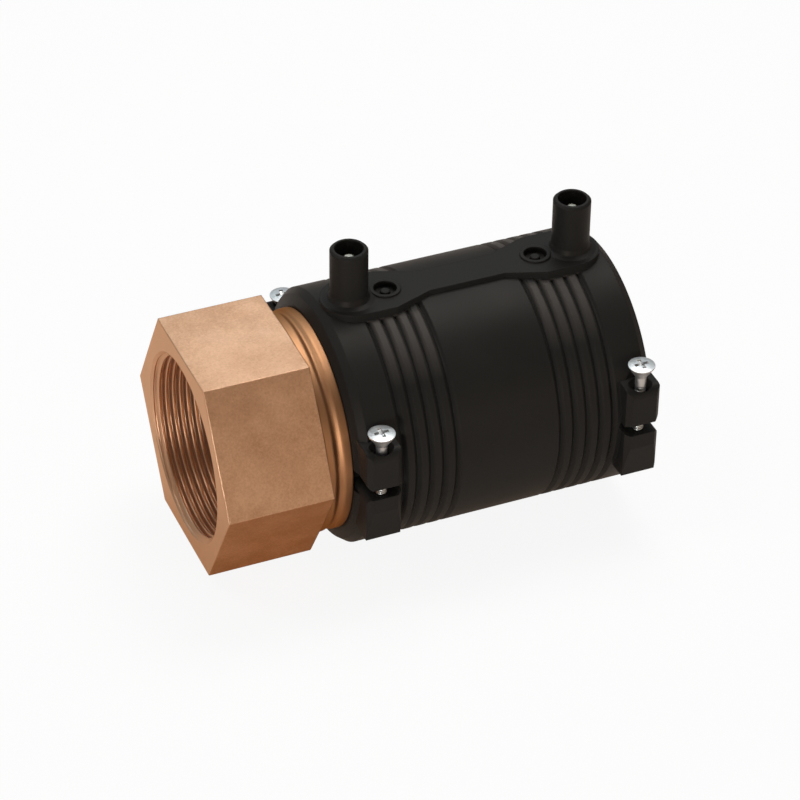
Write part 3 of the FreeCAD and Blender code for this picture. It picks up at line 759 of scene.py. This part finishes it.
def wire_surface(sizes, columns=8):
    """Round wire carried along its path, with a pole at each end.

    At each point of the path the section is a circle in the plane of the outward radius and of
    the direction square to both that radius and the path.
    """
    x, angle, radius = wire_path(sizes)
    path = about_x(x, radius, angle)
    outward = about_x(0 * x, 1.0, angle)
    ahead = np.gradient(path, axis=0)
    ahead /= np.linalg.norm(ahead, axis=1)[:, None]
    square = np.cross(ahead, outward)
    turn = np.linspace(0, 2 * np.pi, columns, endpoint=False)[None, :, None]
    circle = np.cos(turn) * outward[:, None] + np.sin(turn) * square[:, None]
    return path[:, None] + sizes.wire_diameter / 2 * circle, path[[0, -1]]


# Operators


class ADAPTER_OT_insert(bpy.types.Operator):
    """Builds the brass insert with its hexagon, collar, thread and spigot"""

    bl_idname = "adapter.insert"
    bl_label = "Brass insert"

    def execute(self, context):
        sizes, tones = context.scene.adapter_insert, context.scene.adapter_finishes
        points, outline = insert_surface(sizes)
        rows, columns = points.shape[:2]
        faces = closed_faces(rows, columns)
        mouth = tones.mouth, tones.mouth_edge
        collar = tones.collar, tones.collar_edge
        materials = {
            TURNED_MOUTH: turned_brass_material("turned_mouth", *mouth, smoothest=0.26),
            MILLED_FLATS: milled_brass_material(tones),
            TURNED_COLLAR: turned_brass_material("turned_collar", *collar, smoothest=0.44),
            THREAD: turned_brass_material("thread_brass", *mouth, smoothest=0.36),
        }
        place = "threaded_insert", "fitting", "brass"
        piece = add_piece("brass_insert", points, faces, *place, materials.values())
        finish = insert_finish_rows(outline, rows)
        piece.data.polygons.foreach_set("material_index", np.repeat(finish, columns))
        return {"FINISHED"}


class ADAPTER_OT_screws(bpy.types.Operator):
    """Builds the four raised countersunk screws with their threads and cross recesses"""

    bl_idname = "adapter.screws"
    bl_label = "Clamp screws"

    def execute(self, context):
        sizes, tones = context.scene.adapter_screws, context.scene.adapter_finishes
        zinc = plated_metal_material("zinc_plated_steel", tones.steel, 0.34, metallic=0.9)
        for node in nodes_named("clamp_screw_"):
            rings, poles = screw_surface(sizes, *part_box(node))
            name = node.replace("clamp_screw", "zinc_screw")
            add_capped(name, rings, poles, node, body_of_node(node), "zinc_steel", zinc)
        return {"FINISHED"}


class ADAPTER_OT_pins(bpy.types.Operator):
    """Builds the two contact pins inside the terminal shrouds"""

    bl_idname = "adapter.pins"
    bl_label = "Contact pins"

    def execute(self, context):
        sizes, tones = context.scene.adapter_pins, context.scene.adapter_finishes
        plating = plated_metal_material("pin_plating", tones.pin, roughness=0.24)
        for node in nodes_named("terminal_pin_"):
            rings, poles = pin_surface(sizes, *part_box(node))
            name = node.replace("terminal_pin", "contact_pin")
            add_capped(name, rings, poles, node, "fitting", "plated_brass", plating)
        return {"FINISHED"}


class ADAPTER_OT_wire(bpy.types.Operator):
    """Builds the heating wire wound in both fusion zones"""

    bl_idname = "adapter.wire"
    bl_label = "Heating wire"

    def execute(self, context):
        sizes, tones = context.scene.adapter_wire, context.scene.adapter_finishes
        rings, poles = wire_surface(sizes)
        metal = plated_metal_material("resistance_wire", tones.wire, roughness=0.35)
        add_capped("wound_wire", rings, poles, "heating_wire", "fitting", "wire", metal)
        return {"FINISHED"}


class ADAPTER_OT_plastic(bpy.types.Operator):
    """Finishes the socket, the stub, the fusion indicators and the seals"""

    bl_idname = "adapter.plastic"
    bl_label = "Plastic and rubber"

    def execute(self, context):
        tones = context.scene.adapter_finishes
        plastic = black_plastic_material(tones, context.scene.adapter_scuffs)
        for node in ["coupler_body", "transition_stub", *nodes_named("fusion_indicator_")]:
            dress_node(node, plastic)
        rubber = rubber_material(tones.rubber)
        for node in SEALS:
            dress_node(node, rubber)
        return {"FINISHED"}


class ADAPTER_OT_stage(bpy.types.Operator):
    """Sets up the floor, the lamps, the world and the camera"""

    bl_idname = "adapter.stage"
    bl_label = "Studio"

    def execute(self, context):
        studio = context.scene.adapter_studio
        add_floor(studio)
        add_lamps()
        set_world(context.scene, studio)
        add_camera(context.scene, studio)
        return {"FINISHED"}


def add_floor(studio):
    """Wide pale floor at the object's lowest point."""
    reach, height = studio.floor_reach, FRAME_BOUNDS[0].z - studio.floor_gap
    around = ((-reach, -reach), (reach, -reach), (reach, reach), (-reach, reach))
    mesh = bpy.data.meshes.new("studio_floor")
    mesh.from_pydata([(x, y, height) for x, y in around], [], [(0, 1, 2, 3)])
    mesh.materials.append(floor_material(studio))
    floor = bpy.data.objects.new("studio_floor", mesh)
    bpy.context.scene.collection.objects.link(floor)


def add_lamps():
    """Softbox overhead, low key and small high lamp on the mouth's side, low warm front panel.

    Each lamp has its place from the object's middle and its two sides in metres, its power in
    watts and its colour, and shines at the middle.
    """
    middle = (FRAME_BOUNDS[0] + FRAME_BOUNDS[1]) / 2
    warm = (1.0, 0.86, 0.70)
    lamps = {
        "overhead_softbox": ((0.20, 0.22, 0.78), (0.50, 0.42), 4.0, WHITE),
        "mouth_key": ((-0.62, -0.74, 0.08), (0.42, 0.16), 3.4, WHITE),
        "thread_light": ((-0.48, 0.12, 0.76), (0.26, 0.26), 1.2, WHITE),
        "front_panel": ((0.35, -1.00, 0.14), (1.20, 0.42), 1.4, warm),
    }
    for name, (offset, sides, power, tone) in lamps.items():
        lamp = bpy.data.lights.new(name, "AREA")
        lamp.shape = "RECTANGLE"
        lamp.size, lamp.size_y = sides
        lamp.energy = power
        lamp.color = tone
        place = bpy.data.objects.new(name, lamp)
        place.location = middle + Vector(offset)
        place.rotation_euler = Vector(offset).to_track_quat("Z", "Y").to_euler()
        bpy.context.scene.collection.objects.link(place)


def set_world(scene, studio):
    """White to the camera; in metal, pale above and behind and dim on the camera's side.

    What metal sees goes from world_front to world_back as behind of the direction's part along
    +Y plus above of its part along +Z goes from dim_until to pale_from. Matt surfaces get one
    even level.
    """
    behind, above, dim_until, pale_from = 0.6, 0.8, 0.6, 0.95
    world = bpy.data.worlds.new("white_studio")
    world.use_nodes = True
    scene.world = world
    direction = add_node(world, "ShaderNodeTexCoord")
    split = add_node(world, "ShaderNodeSeparateXYZ", Vector=(direction, "Generated"))
    parts = times(world, (split, "Y"), behind), times(world, (split, "Z"), above)
    rise = spread(world, math_node(world, "ADD", *parts), 0, 1, dim_until, pale_from)
    path = add_node(world, "ShaderNodeLightPath")
    clear = math_node(world, "MAXIMUM", (path, "Is Camera Ray"), (path, "Is Transmission Ray"))
    matt = tint(world, clear, scaled(WHITE, studio.world_light), WHITE)
    polished = tint(world, rise, studio.world_front, studio.world_back)
    seen = tint(world, (path, "Is Glossy Ray"), matt, polished)
    connect(world, world.node_tree.nodes["Background"], "Color", seen)


def add_camera(scene, studio):
    """Long lens from the front left and above, looking at a point on the waterway's axis."""
    azimuth, elevation = studio.azimuth, studio.elevation
    right = Vector((math.cos(azimuth), math.sin(azimuth), 0))
    ahead = Vector((-math.sin(azimuth), math.cos(azimuth), 0))
    back = -ahead * math.cos(elevation) + Vector((0, 0, math.sin(elevation)))
    turn = Matrix((right, back.cross(right), back)).transposed()
    turn = turn @ Matrix.Rotation(studio.roll, 3, "Z")
    place = Vector((studio.target, 0, 0)) + back * studio.distance
    lens = bpy.data.cameras.new("photo_camera")
    lens.lens = studio.lens
    lens.shift_x, lens.shift_y = studio.shift
    lens.clip_start, lens.clip_end = 0.05, 20
    camera = bpy.data.objects.new("photo_camera", lens)
    camera.matrix_world = Matrix.Translation(place) @ turn.to_4x4()
    scene.collection.objects.link(camera)
    scene.camera = camera
    scene.view_settings.view_transform = "Standard"


class ADAPTER_PT_panel(bpy.types.Panel):
    """Sizes, finishes and steps of the adapter"""

    bl_label = "Electrofusion adapter"
    bl_idname = "ADAPTER_PT_panel"
    bl_space_type = "VIEW_3D"
    bl_region_type = "UI"
    bl_category = "Adapter"

    def draw(self, context):
        for name, group in GROUPS.items():
            box = self.layout.box()
            box.label(text=group.__doc__.split(".")[0])
            settings = getattr(context.scene, name)
            for key in group.__annotations__:
                box.prop(settings, key)
        for operator in OPERATORS:
            self.layout.operator(operator.bl_idname)


GROUPS = {
    "adapter_insert": InsertSizes,
    "adapter_screws": ScrewSizes,
    "adapter_pins": PinSizes,
    "adapter_wire": WireSizes,
    "adapter_scuffs": HighlightPlaces,
    "adapter_finishes": Finishes,
    "adapter_studio": Studio,
}
OPERATORS = (
    ADAPTER_OT_insert,
    ADAPTER_OT_screws,
    ADAPTER_OT_pins,
    ADAPTER_OT_wire,
    ADAPTER_OT_plastic,
    ADAPTER_OT_stage,
)


def register():
    """Registers every class and hangs the property groups on the scene."""
    for group in (*GROUPS.values(), *OPERATORS, ADAPTER_PT_panel):
        bpy.utils.register_class(group)
    for name, group in GROUPS.items():
        setattr(bpy.types.Scene, name, PointerProperty(type=group))


def unregister():
    """Takes the property groups and classes away again."""
    for name in GROUPS:
        delattr(bpy.types.Scene, name)
    for group in (ADAPTER_PT_panel, *reversed(OPERATORS), *GROUPS.values()):
        bpy.utils.unregister_class(group)


def main():
    """Registers the add-on and runs its steps."""
    register()
    bpy.ops.adapter.insert()
    bpy.ops.adapter.screws()
    bpy.ops.adapter.pins()
    bpy.ops.adapter.wire()
    bpy.ops.adapter.plastic()
    bpy.ops.adapter.stage()


if __name__ == "__main__":
    main()
